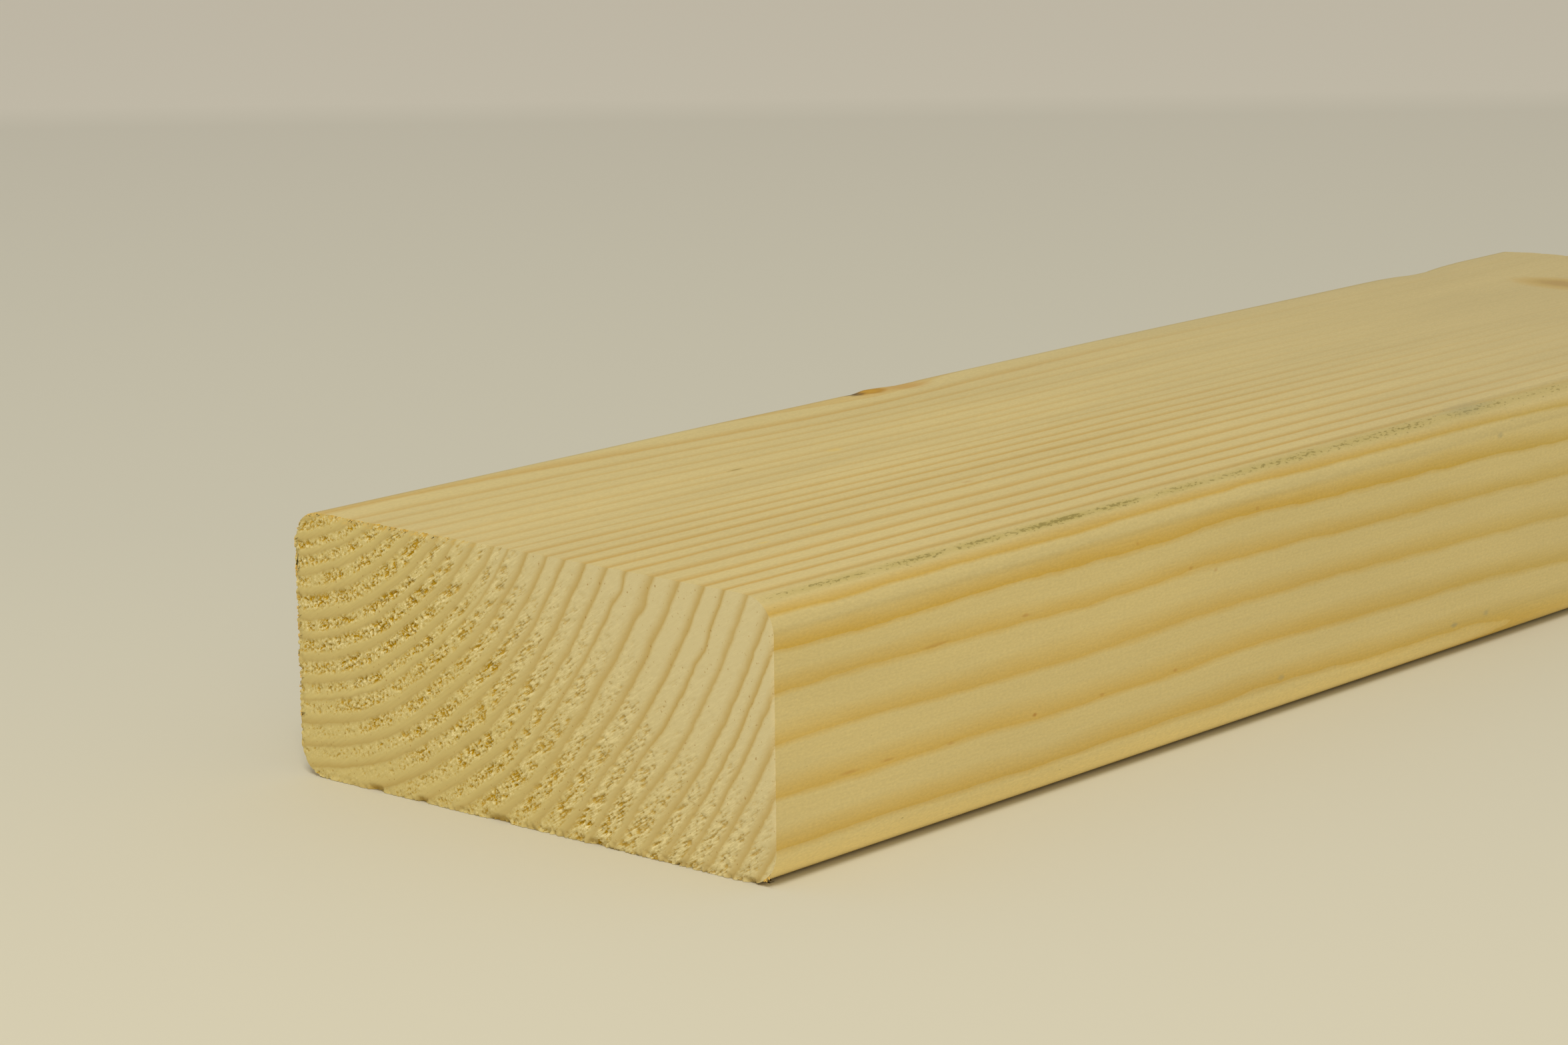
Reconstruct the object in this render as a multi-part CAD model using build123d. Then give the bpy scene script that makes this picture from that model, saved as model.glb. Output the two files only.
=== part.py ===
from build123d import *
import os
from math import cos, radians, sin

# A short cut length of planed construction softwood, lying on its wide face.
# All lengths are in millimetres. X runs along the grain from the near sawn end to the far one,
# Y crosses the width from the front edge to the back edge, and Z goes up through the thickness.
# The origin is the middle of the underside.

# The planed section and the length it is cut to
section_width = 89.0
section_thickness = 38.0
plank_length = 305.0

# The planer rounds the four long arrises to one radius
arris_radius = 5.0

# Two knots come out on the back top arris, and the planer tore a shallow hollow beside each.
# A hollow leans towards the back edge by this angle from straight up.
tear_lean_degrees = 30.0

knot_tear_from_near_end = 127.0
knot_tear_length = 10.0
knot_tear_depth = 0.35

far_tear_from_far_end = 29.0
far_tear_length = 14.0
far_tear_depth = 0.25


def planed_bar():
    """The rounded section, pushed out along the grain equally to both sawn ends."""
    outline = RectangleRounded(section_width, section_thickness, arris_radius)
    section = Plane.YZ * Pos(0, section_thickness / 2) * outline
    return extrude(section, amount=plank_length / 2, both=True)


def torn_hollow(along, hollow_length, hollow_depth):
    """The ball that scoops a hollow of this length and depth out of the back top arris."""
    ball_radius = (hollow_length**2 / 4 + hollow_depth**2) / (2 * hollow_depth)
    reach = arris_radius - hollow_depth + ball_radius
    lean = radians(tear_lean_degrees)
    arris_centre_y = section_width / 2 - arris_radius
    arris_centre_z = section_thickness - arris_radius
    centre = Pos(along, arris_centre_y + reach * sin(lean), arris_centre_z + reach * cos(lean))
    return centre * Sphere(ball_radius)


def plank():
    """The planed bar with the two torn hollows in its back top arris."""
    near_end = -plank_length / 2
    far_end = plank_length / 2
    knot_tear = torn_hollow(near_end + knot_tear_from_near_end, knot_tear_length, knot_tear_depth)
    far_tear = torn_hollow(far_end - far_tear_from_far_end, far_tear_length, far_tear_depth)
    return planed_bar() - knot_tear - far_tear


os.makedirs("parts", exist_ok=True)
export_step(plank(), "parts/plank.step")
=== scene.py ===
from math import cos, pi, radians, sin

import bpy
import numpy as np
from mathutils import Matrix, Vector


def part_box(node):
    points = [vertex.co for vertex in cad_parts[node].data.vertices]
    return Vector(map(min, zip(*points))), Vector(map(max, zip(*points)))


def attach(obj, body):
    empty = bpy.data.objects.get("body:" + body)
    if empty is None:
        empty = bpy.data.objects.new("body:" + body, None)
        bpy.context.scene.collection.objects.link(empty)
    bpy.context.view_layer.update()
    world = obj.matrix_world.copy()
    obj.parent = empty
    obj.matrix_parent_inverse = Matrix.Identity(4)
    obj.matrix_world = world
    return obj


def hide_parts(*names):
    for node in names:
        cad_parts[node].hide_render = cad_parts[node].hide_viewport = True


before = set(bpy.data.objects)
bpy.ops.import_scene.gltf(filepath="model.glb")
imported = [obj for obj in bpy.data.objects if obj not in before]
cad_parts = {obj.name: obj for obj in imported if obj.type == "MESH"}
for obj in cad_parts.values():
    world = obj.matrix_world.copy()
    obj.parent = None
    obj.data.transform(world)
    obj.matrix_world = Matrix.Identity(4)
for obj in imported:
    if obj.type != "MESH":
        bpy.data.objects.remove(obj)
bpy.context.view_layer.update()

# The plank: one piece of kiln-dried spruce, planed on its four long faces with the arrises eased,
# and cross-cut square at both ends. The saw tore the soft earlywood of the sawn ends into pits and
# left the hard latewood standing as ridges, so the ends are modelled, and cut inwards from the stock.
low, high = (np.array(corner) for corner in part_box("plank"))
half_length = (high[0] - low[0]) / 2
half_width = (high[1] - low[1]) / 2
thickness = high[2] - low[2]
arris_radius = 0.005
mm = 0.001
near_end, far_end = -half_length / mm, half_length / mm


def linear(code):
    """A colour written as sRGB hex, as the linear red, green, blue and alpha that nodes take."""
    shares = [int(code[place:place + 2], 16) / 255 for place in (1, 3, 5)]
    return (*[s / 12.92 if s <= 0.04045 else ((s + 0.055) / 1.055) ** 2.4 for s in shares], 1.0)


def add_node(tree, kind, *inputs, named=(), output=0, curve=(), **settings):
    """Adds a node, sets its properties, then links or sets its inputs, in their order or by name. A
    curve, where the node has one, runs in straight lines through the points given. A kind with a short
    name is a shader node."""
    new = tree.nodes.new(kind if "Node" in kind else "ShaderNode" + kind)
    for name, value in settings.items():
        setattr(new, name, value)
    shown = [socket for socket in new.inputs if socket.enabled]
    pairs = list(zip(shown, inputs)) + [(new.inputs[name], value) for name, value in dict(named).items()]
    for socket, value in pairs:
        if isinstance(value, bpy.types.NodeSocket):
            tree.links.new(value, socket)
        elif value is not None:
            socket.default_value = value
    if curve:
        new.mapping.extend = "HORIZONTAL"
        new.mapping.use_clip = False
        corners = new.mapping.curves[0].points
        corners[0].location = curve[0]
        corners[1].location = curve[-1]
        for middle in curve[1:-1]:
            corners.new(*middle)
        for corner in corners:
            corner.handle_type = "VECTOR"
        new.mapping.update()
    return new.outputs[output]


def add_object(name, data):
    """Puts a mesh, a lamp or a camera in the scene as an object."""
    new = bpy.data.objects.new(name, data)
    bpy.context.scene.collection.objects.link(new)
    return new


def add_material(name):
    """A new material, and its node tree with nothing in it yet."""
    new = bpy.data.materials.new(name)
    new.use_nodes = True
    new.node_tree.nodes.clear()
    return new, new.node_tree


# The growth rings, in millimetres. The pith lay outside the plank, above the top face and behind the
# back edge. Each ring has the radius of its outer edge, the share of it that is latewood, and how
# dark that latewood is, from 0 to 1.
pith_y, pith_z = 55.0, 74.3
out_of_round, round_lobes, round_turn = 0.0154, 5, radians(27.9)
rings = [
    (35.2, 0.40, 0.6), (38.3, 0.40, 1.0), (41.0, 0.42, 0.8), (43.1, 0.40, 0.6), (45.8, 0.38, 0.6),
    (48.5, 0.40, 0.6), (52.2, 0.42, 0.5), (54.7, 0.45, 0.5), (57.8, 0.46, 0.5), (61.0, 0.44, 0.5),
    (63.3, 0.22, 0.5), (66.6, 0.46, 0.8), (69.8, 0.42, 0.7), (72.7, 0.42, 0.8), (76.1, 0.46, 0.9),
    (79.5, 0.40, 0.7), (82.5, 0.36, 0.9), (86.7, 0.44, 0.8), (90.7, 0.42, 0.8), (94.8, 0.38, 0.9),
    (98.1, 0.36, 1.0), (101.7, 0.36, 0.6), (105.7, 0.40, 0.9), (108.3, 0.52, 1.0), (110.7, 0.52, 0.8),
    (113.8, 0.50, 0.75), (117.3, 0.50, 0.8), (120.8, 0.50, 0.85), (124.5, 0.50, 0.7), (128.5, 0.50, 0.7),
]
ring_start, ring_end = 35.0, 130.0
ring_drop = 3.2                       # how far the rings dip between these places along the grain
ring_drop_from, ring_drop_to = -40.0, 80.0

# They also wander by slow waves and two finer ones. Each has its size along the grain and across it, its
# octaves and its height. The one longer than the run-in grows over it from nothing at the near end.
wave_run_in = 60.0
ring_waves = [(70.0, 50.0, 1.0, 1.2), (30.0, 5.0, 2.0, 0.7), (5.0, 1.1, 1.0, 0.3)]

# Where the rings bend a little from round: across, up, how far the bend reaches, and the shift outwards
ring_bends = [
    (20.0, 40.0, 12.0, 0.9), (4.0, 40.0, 10.0, 0.5), (34.0, 38.0, 8.0, 0.3), (18.0, 20.0, 9.0, -0.7),
    (3.0, 10.0, 6.0, 0.5), (-18.0, 8.0, 11.0, -1.3), (-17.5, 35.6, 1.5, 0.6), (-22.4, 33.6, 1.7, 0.6),
    (-31.8, 30.0, 1.8, 0.5), (-26.0, 37.0, 5.0, 0.3),
]

# The inner rings also swell towards a branch, by so much at the first radius and nothing at the second
branch_swell, branch_along, branch_reach = 3.0, -42.5, 62.0
swell_full_radius, swell_end_radius = 43.0, 82.0

# Two branches grew out from the pith and are cut as knots: one on the back top arris and one far along
# the top face. Each has its place in millimetres, its half width, how much longer it is than wide, how far
# the rings bulge round it, the colours of its rim and heart, and how softly it ends.
knots = [
    dict(along=-34.9, across=38.9, up=37.0, half_width=1.8, stretch=1.7, bulge=1.5, reach=(14.0, 5.0),
         rim="#a67a18", heart="#b6881c", soft=0.7),
    dict(along=123.5, across=9.5, up=38.0, half_width=5.5, stretch=0.8, bulge=3.0, reach=(26.0, 13.0),
         rim="#b59a58", heart="#ac8e52", soft=1.1),
]


def growth_rings(tree, point):
    """Where a point in millimetres lies in the rings: how far through its own ring, from 0 to 1, how
    much it is latewood, from 0 to 1, and that latewood's darkness."""
    along, across, up = add_node(tree, "SeparateXYZ", point).node.outputs
    dip = add_node(tree, "MapRange", along, ring_drop_from, ring_drop_to, 0.0, ring_drop,
                   interpolation_type="SMOOTHSTEP")
    wander = 0.0
    for wave_along, wave_across, octaves, wave_height in ring_waves:
        stretch = (1 / wave_along, 1 / wave_across, 1 / wave_across)
        wave_place = add_node(tree, "VectorMath", point, stretch, operation="MULTIPLY")
        wave = add_node(tree, "TexNoise", wave_place, 1.0, octaves, 0.5)
        wave = add_node(tree, "Math", wave, 0.5, operation="SUBTRACT")
        if wave_along > wave_run_in:
            wave_height = add_node(tree, "MapRange", along, near_end, near_end + wave_run_in,
                                   0.0, wave_height)
        wander = add_node(tree, "Math", wave, wave_height, wander, operation="MULTIPLY_ADD")
    # Polar place about the pith
    flat_place = add_node(tree, "CombineXYZ", across, up, 0.0)
    out_y = add_node(tree, "Math", pith_y, across, operation="SUBTRACT")
    out_z = add_node(tree, "Math", pith_z, up, operation="SUBTRACT")
    out_z = add_node(tree, "Math", out_z, dip, operation="SUBTRACT")
    flat = add_node(tree, "CombineXYZ", out_y, out_z, 0.0)
    radius = add_node(tree, "VectorMath", flat, operation="LENGTH", output=1)
    angle = add_node(tree, "Math", out_z, out_y, operation="ARCTAN2")
    lobe = add_node(tree, "Math", angle, round_lobes, -round_lobes * round_turn, operation="MULTIPLY_ADD")
    lobe = add_node(tree, "Math", lobe, operation="COSINE")
    lobe = add_node(tree, "Math", lobe, -out_of_round, 1 + out_of_round, operation="MULTIPLY_ADD")
    radius = add_node(tree, "Math", radius, lobe, operation="DIVIDE")
    radius = add_node(tree, "Math", radius, wander, operation="ADD")
    for bend_across, bend_up, reach, shift in ring_bends:
        bend = add_node(tree, "VectorMath", flat_place, (-bend_across, -bend_up, 0.0), operation="ADD")
        bend = add_node(tree, "VectorMath", bend, bend, operation="DOT_PRODUCT", output=1)
        bend = add_node(tree, "Math", bend, -1 / reach ** 2, operation="MULTIPLY")
        bend = add_node(tree, "Math", bend, operation="EXPONENT")
        radius = add_node(tree, "Math", bend, -shift, radius, operation="MULTIPLY_ADD")
    # The rings swell outwards towards the branches, and more close round each one
    inner = add_node(tree, "MapRange", radius, swell_full_radius, swell_end_radius, branch_swell, 0.0)
    near_branch = add_node(tree, "Math", along, 1 / branch_reach, -branch_along / branch_reach,
                           operation="MULTIPLY_ADD")
    near_branch = add_node(tree, "Math", near_branch, near_branch, operation="MULTIPLY")
    near_branch = add_node(tree, "Math", near_branch, -1.0, operation="MULTIPLY")
    near_branch = add_node(tree, "Math", near_branch, operation="EXPONENT")
    near_branch = add_node(tree, "Math", near_branch, inner, operation="MULTIPLY")
    radius = add_node(tree, "Math", radius, near_branch, operation="SUBTRACT")
    for knot in knots:
        reach = (1 / knot["reach"][0], 1 / knot["reach"][1], 1 / knot["reach"][1])
        centre = (-knot["along"] * reach[0], -knot["across"] * reach[1], -knot["up"] * reach[2])
        place = add_node(tree, "VectorMath", point, reach, centre, operation="MULTIPLY_ADD")
        away = add_node(tree, "VectorMath", place, place, operation="DOT_PRODUCT", output=1)
        swell = add_node(tree, "Math", away, -1.0, operation="MULTIPLY")
        swell = add_node(tree, "Math", swell, operation="EXPONENT")
        radius = add_node(tree, "Math", swell, -knot["bulge"], radius, operation="MULTIPLY_ADD")
    # Which ring, and how far through it
    share = add_node(tree, "MapRange", radius, ring_start, ring_end, 0.0, 1.0)
    edges = [(0.0, 0.93 / len(rings))]
    edges += [((edge - ring_start) / (ring_end - ring_start), (count + 1) / len(rings))
              for count, (edge, _, _) in enumerate(rings)]
    count = add_node(tree, "FloatCurve", 1.0, share, curve=edges)
    count = add_node(tree, "Math", count, len(rings), operation="MULTIPLY")
    which = add_node(tree, "Math", count, operation="FLOOR")
    through = add_node(tree, "Math", count, operation="FRACT")
    which = add_node(tree, "Math", which, 0.5, operation="ADD")
    which = add_node(tree, "Math", which, len(rings), operation="DIVIDE")
    middles = [(number + 0.5) / len(rings) for number in range(len(rings))]
    _, shares, darks = zip(*rings)
    late_share = add_node(tree, "FloatCurve", 1.0, which, curve=list(zip(middles, shares)))
    darkness = add_node(tree, "FloatCurve", 1.0, which, curve=list(zip(middles, darks)))
    early_share = add_node(tree, "Math", 1.0, late_share, operation="SUBTRACT")
    late = add_node(tree, "MapRange", through, early_share, 1.0, 0.0, 1.0)
    # The latewood fades into the next ring's earlywood rather than stopping dead
    fading = add_node(tree, "MapRange", through, 0.0, 0.12, 0.75, 0.0)
    late = add_node(tree, "Math", late, fading, operation="MAXIMUM")
    return dict(through=through, late=late, darkness=darkness, angle=angle)


# The stock's mesh. Both end faces are fine grids over the rounded section, whose corner squares are
# bent to the arris, and the long faces join them in strips.
near_cell, far_cell = 0.00025, 0.0005
edge_band = 0.0012


def end_grid(cell):
    """Across and up of every point of a grid over the rounded section, its faces, and its edge loop."""
    cells_y = round(2 * half_width / cell)
    cells_z = round(thickness / cell)
    y, z = np.meshgrid(np.linspace(-half_width, half_width, cells_y + 1),
                       np.linspace(0, thickness, cells_z + 1), indexing="ij")
    flat_y = np.clip(y, arris_radius - half_width, half_width - arris_radius)
    flat_z = np.clip(z, arris_radius, thickness - arris_radius)
    u = (y - flat_y) / arris_radius
    v = (z - flat_z) / arris_radius
    places = np.stack([flat_y + arris_radius * u * np.sqrt(1 - v ** 2 / 2),
                       flat_z + arris_radius * v * np.sqrt(1 - u ** 2 / 2)], axis=-1)
    number = np.arange(places.shape[0] * places.shape[1]).reshape(places.shape[:2])
    faces = np.stack([number[:-1, :-1], number[1:, :-1], number[1:, 1:], number[:-1, 1:]], axis=-1)
    loop = np.concatenate([number[:-1, 0], number[-1, :-1], number[:0:-1, -1], number[0, :0:-1]])
    return places.reshape(-1, 2), faces.reshape(-1, 4), loop


def at(x, places):
    """Points at one station along the grain."""
    return np.column_stack([np.full(len(places), x), places])


near_places, near_faces, near_loop = end_grid(near_cell)
far_places, far_faces, far_loop = end_grid(far_cell)
around = near_places[near_loop][::4]
columns = len(around)

# Stations along the grain, close together near the ends and at the two torn hollows
near_torn, far_torn = -0.0255, 0.1235
even_from = 0.004
stations = [-half_length + 2 * edge_band, half_length - 2 * edge_band]
stations += list(np.linspace(-half_length + even_from, half_length - even_from, 56))
stations += list(near_torn + np.linspace(-0.018, 0.008, 24))
stations += list(far_torn + np.linspace(-0.012, 0.012, 13))
stations = np.unique(np.round(stations, 5))

points = [at(-half_length, near_places), at(-half_length + edge_band, near_places[near_loop])]
points += [at(x, around) for x in stations]
points += [at(half_length - edge_band, far_places[far_loop]), at(half_length, far_places)]
firsts = np.cumsum([0] + [len(group) for group in points])
points = np.concatenate(points)

# The planer's two hollows and the knot's small swelling, both on the back top arris
torn_lean = radians(30)
arris_y, arris_z = half_width - arris_radius, thickness - arris_radius
for along, length, depth in ((near_torn, 0.010, 0.00035), (far_torn, 0.014, 0.00025)):
    ball_radius = (length ** 2 / 4 + depth ** 2) / (2 * depth)
    reach = arris_radius - depth + ball_radius
    centre = np.array([along, arris_y + reach * sin(torn_lean), arris_z + reach * cos(torn_lean)])
    away = points - centre
    distance = np.linalg.norm(away, axis=1)
    inside = distance < ball_radius
    points[inside] = centre + away[inside] * (ball_radius / distance[inside])[:, None]
swell_centre = np.array([knots[0]["along"], knots[0]["across"], knots[0]["up"]]) * mm
swell_size = np.array([0.0028, 0.0022, 0.0022])
swell_height = 0.0004
swell = swell_height * np.exp(-(((points - swell_centre) / swell_size) ** 2).sum(axis=1))
points += swell[:, None] * np.array([0, sin(torn_lean), cos(torn_lean)])
# The back top arris falls away along the plank: millimetres from the near end, and how far it has dropped
arris_drop = [
    (84, 0.0), (100, 0.10), (113, 0.10), (115, 0.25), (118, 0.0), (121, 0.0), (125, 0.2), (140, 0.15),
    (180, 0.15), (200, 0.22), (232, 0.38), (262, 0.45), (268, 0.62), (273, 0.9), (278, 0.92),
    (284, 0.6), (290, 0.45), (305, 0.4),
]
drop_along, drop_by = np.array(arris_drop).T * mm
drop = np.interp(points[:, 0] + half_length, drop_along, drop_by)
# and how far in from the back edge, and down from the top, the drop is felt
drop_reach_in, drop_reach_down = 0.016, 0.012
share_across = np.interp(points[:, 1], (half_width - drop_reach_in, arris_y), (0, 1))
share_up = np.interp(points[:, 2], (thickness - drop_reach_down, arris_z), (0, 1))
points[:, 2] -= drop * share_across ** 2 * share_up
points = np.clip(points, low, high)

column = np.arange(columns)
after = (column + 1) % columns
quads = [near_faces[:, ::-1] + firsts[0], far_faces + firsts[-2]]
fine = np.arange(len(near_loop))
fine_after = (fine + 1) % len(near_loop)
rim, band = near_loop + firsts[0], firsts[1] + fine
quads.append(np.column_stack([rim, rim[fine_after], band[fine_after], band]))
for row in range(len(stations) - 1):
    here, ahead = firsts[2 + row], firsts[3 + row]
    quads.append(np.column_stack([here + column, here + after, ahead + after, ahead + column]))
far_fine = np.arange(len(far_loop))
far_after = (far_fine + 1) % len(far_loop)
far_band, far_rim = firsts[-3] + far_fine, far_loop + firsts[-2]
quads.append(np.column_stack([far_band, far_band[far_after], far_rim[far_after], far_rim]))
# Four fine edges join one coarse edge at the near end, and two join one at the far end
f0, f1, f2, f3 = (firsts[1] + 4 * column + step for step in range(4))
f4 = firsts[1] + 4 * after
c0, c1 = firsts[2] + column, firsts[2] + after
near_fan = ((f0, f1, c0), (f1, f2, c0), (f2, c1, c0), (f2, f3, c1), (f3, f4, c1))
last = firsts[1 + len(stations)]
g0, g1, g2 = firsts[-3] + 2 * column, firsts[-3] + 2 * column + 1, firsts[-3] + 2 * after
d0, d1 = last + column, last + after
far_fan = ((d0, d1, g1), (d1, g2, g1), (d0, g1, g0))
triangles = [np.column_stack(corners) for corners in near_fan + far_fan]

stock_mesh = bpy.data.meshes.new("stock")
faces = [list(map(int, face)) for face in np.concatenate(quads)]
faces += [list(map(int, face)) for face in np.concatenate(triangles)]
stock_mesh.from_pydata([tuple(map(float, point)) for point in points], [], faces)
stock_mesh.validate()
stock_mesh.shade_smooth()
ends = np.zeros((len(stock_mesh.edges), 2), dtype=np.int32)
stock_mesh.edges.foreach_get("vertices", ends.ravel())
on_rim = np.zeros(len(points), dtype=bool)
on_rim[rim] = True
on_rim[far_rim] = True
x = points[:, 0]
same_place = 1e-6
at_end = on_rim[ends].all(axis=1) & (np.abs(x[ends[:, 0]] - x[ends[:, 1]]) < same_place)
sharp = stock_mesh.attributes.new("sharp_edge", "BOOLEAN", "EDGE")
sharp.data.foreach_set("value", at_end)
end_face = stock_mesh.attributes.new("end_face", "BOOLEAN", "FACE")
is_end = np.zeros(len(stock_mesh.polygons), dtype=bool)
is_end[:len(near_faces) + len(far_faces)] = True
end_face.data.foreach_set("value", is_end)
stock = add_object("stock", stock_mesh)


# How the saw left the ends, in millimetres. Its blade went across at this angle to the width. The torn
# grain, the streaks along the blade's path, the groups of pits and the chips have these sizes.
blade_turn = radians(32.7)
grain_size, group_size, broken_size = 0.42, 1.6, 0.65
streak_length, streak_width = 1.3, 0.22
worn_depth, ridge_height, pit_depth = 0.06, 0.015, 0.26
rough_depth, notch_depth = 0.62, 0.6
shallowest, deepest = 0.02, 1.0
# The middle of the place where it tore deepest, and how far that reaches across and up
deep_across, deep_up, deep_wide, deep_high = 25.0, 24.0, 15.0, 8.0
# Wider notches in the lower edge: where across, and how wide
notches = [(29.5, 1.6), (20.5, 1.1), (5.5, 2.2), (-12.5, 1.3), (-39.8, 1.2)]


def sawn_relief(tree, point):
    """How deep the saw left a point of an end face, in millimetres below the stock's end, with the ring
    it lies in and its pits, torn grain and tearing, each from 0 to about 1. The place along the grain
    only says which end it is."""
    along, across, up = add_node(tree, "SeparateXYZ", point).node.outputs
    side = add_node(tree, "Math", along, operation="SIGN")
    end_along = add_node(tree, "Math", side, far_end, operation="MULTIPLY")
    face_point = add_node(tree, "CombineXYZ", end_along, across, up)
    ring = growth_rings(tree, face_point)
    through = ring["through"]
    # The blade tore most where its path ran along the rings, less low down at the back, more at the front
    along_blade = add_node(tree, "MapRange", ring["angle"], radians(26), radians(56), 0.0, 1.0,
                           interpolation_type="SMOOTHSTEP")
    torn = add_node(tree, "Math", along_blade, 0.92, 0.08, operation="MULTIPLY_ADD")
    low_back = add_node(tree, "Math", across, -0.33, up, operation="MULTIPLY_ADD")
    low_back = add_node(tree, "MapRange", low_back, -6.0, 5.0, 0.35, 1.0)
    torn = add_node(tree, "Math", torn, low_back, operation="MULTIPLY")
    low_front = add_node(tree, "MapRange", up, 18.0, 2.0, 0.0, 0.16)
    front_share = add_node(tree, "MapRange", across, 5.0, -10.0, 0.0, 1.0)
    torn = add_node(tree, "Math", low_front, front_share, torn, operation="MULTIPLY_ADD")
    patch = add_node(tree, "TexNoise", face_point, 1 / 7, 1.0, 0.5)
    patch = add_node(tree, "MapRange", patch, 0.3, 0.7, 0.6, 1.25)
    torn = add_node(tree, "Math", torn, patch, operation="MULTIPLY")
    # and deepest of all in one place towards the back
    deep_stretch = (0.0, 1 / deep_wide, 1 / deep_high)
    deep_centre = (0.0, -deep_across / deep_wide, -deep_up / deep_high)
    deep_place = add_node(tree, "VectorMath", face_point, deep_stretch, deep_centre, operation="MULTIPLY_ADD")
    deep_place = add_node(tree, "VectorMath", deep_place, operation="LENGTH", output=1)
    deep_patch = add_node(tree, "MapRange", deep_place, 0.2, 1.4, 1.35, 1.0)
    torn = add_node(tree, "Math", torn, deep_patch, operation="MULTIPLY")
    # Torn earlywood takes up more of each ring towards the front
    early_shift = add_node(tree, "MapRange", across, 20.0, -20.0, 0.0, 0.13)
    early = add_node(tree, "Math", through, early_shift, operation="SUBTRACT")
    early = add_node(tree, "MapRange", early, 0.44, 0.72, 1.0, 0.0, interpolation_type="SMOOTHSTEP")
    start = add_node(tree, "MapRange", through, 0.0, 0.2, 0.3, 1.0, interpolation_type="SMOOTHSTEP")
    early = add_node(tree, "Math", early, start, operation="MULTIPLY")
    soft = add_node(tree, "Math", early, torn, operation="MULTIPLY")
    # Round grains of torn fibre, and streaks along the blade's path
    grain = add_node(tree, "TexNoise", face_point, 1 / grain_size, 3.0, 0.7)
    turned = add_node(tree, "VectorRotate", face_point, (0, 0, 0), (1, 0, 0), blade_turn,
                      rotation_type="AXIS_ANGLE")
    streak_stretch = (1.0, 1 / streak_length, 1 / streak_width)
    streak_place = add_node(tree, "VectorMath", turned, streak_stretch, operation="MULTIPLY")
    streak = add_node(tree, "TexNoise", streak_place, 1.0, 2.0, 0.6)
    streaky = add_node(tree, "MapRange", ring["angle"], radians(40), radians(60), 0.85, 0.25)
    grain = add_node(tree, "Mix", streaky, grain, streak, data_type="FLOAT")
    # Pits run together where a coarser noise lowers the floor they start from. Where the saw tore less
    # there are fewer, but they are still clear.
    cluster = add_node(tree, "TexNoise", face_point, 1 / group_size, 1.0, 0.5)
    pit_floor = add_node(tree, "MapRange", cluster, 0.35, 0.65, 0.56, 0.47)
    fewer = add_node(tree, "MapRange", torn, 0.1, 0.7, 0.08, 0.0)
    pit_floor = add_node(tree, "Math", pit_floor, fewer, operation="ADD")
    pit_top = add_node(tree, "Math", pit_floor, 0.06, operation="ADD")
    pit = add_node(tree, "MapRange", grain, pit_floor, pit_top, 0.0, 1.0)
    clear = add_node(tree, "MapRange", torn, 0.08, 0.4, 0.0, 0.75)
    clear = add_node(tree, "Math", clear, torn, operation="MAXIMUM")
    clear = add_node(tree, "Math", clear, early, operation="MULTIPLY")
    pit = add_node(tree, "Math", pit, clear, operation="MULTIPLY")
    # Ridges of latewood stand proud of the worn earlywood
    depth = add_node(tree, "Math", ring["late"], -ridge_height, worn_depth, operation="MULTIPLY_ADD")
    depth = add_node(tree, "Math", soft, worn_depth, depth, operation="MULTIPLY_ADD")
    depth = add_node(tree, "Math", pit, pit_depth, depth, operation="MULTIPLY_ADD")
    rough = add_node(tree, "Math", grain, 0.5, operation="SUBTRACT")
    rough_size = add_node(tree, "Math", soft, rough_depth, 0.04, operation="MULTIPLY_ADD")
    depth = add_node(tree, "Math", rough, rough_size, depth, operation="MULTIPLY_ADD")
    # Chips along the edges, where the blade came in and left
    from_side = add_node(tree, "Math", half_width / mm, across, operation="SUBTRACT")
    from_edge = add_node(tree, "Math", from_side, up, operation="MINIMUM")
    edge_chip = add_node(tree, "MapRange", from_edge, 0.0, 1.1, 1.0, 0.0)
    chip = add_node(tree, "TexNoise", face_point, 1 / broken_size, 3.0, 0.65)
    chip = add_node(tree, "MapRange", chip, 0.45, 0.68, 0.0, 1.0)
    chip = add_node(tree, "Math", chip, edge_chip, operation="MULTIPLY")
    chip_size = add_node(tree, "MapRange", torn, 0.0, 0.6, 0.15, 0.65)
    depth = add_node(tree, "Math", chip, chip_size, depth, operation="MULTIPLY_ADD")
    # and a few wider notches where fibres broke out of the lower edge
    low_edge = add_node(tree, "MapRange", up, 0.2, 0.9, 1.0, 0.0)
    for notch_across, notch_width in notches:
        notch = add_node(tree, "Math", across, 1 / notch_width, -notch_across / notch_width,
                         operation="MULTIPLY_ADD")
        notch = add_node(tree, "Math", notch, notch, -1.5, operation="MULTIPLY_ADD")
        notch = add_node(tree, "Math", grain, 3.0, notch, operation="MULTIPLY_ADD")
        notch = add_node(tree, "MapRange", notch, 0.0, 1.0, 1.0, 0.0)
        notch = add_node(tree, "Math", notch, low_edge, operation="MULTIPLY")
        depth = add_node(tree, "Math", notch, notch_depth, depth, operation="MULTIPLY_ADD")
        # In the colour the notches also take the pits' painted shade
        notch = add_node(tree, "Math", notch, 0.4, operation="MULTIPLY")
        pit = add_node(tree, "Math", notch, pit, operation="MAXIMUM")
    depth = add_node(tree, "Math", depth, shallowest, operation="MAXIMUM")
    depth = add_node(tree, "Math", depth, deepest, operation="MINIMUM")
    return dict(ring, depth=depth, pit=pit, grain=grain, soft=soft, torn=torn, along_blade=along_blade)
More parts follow.
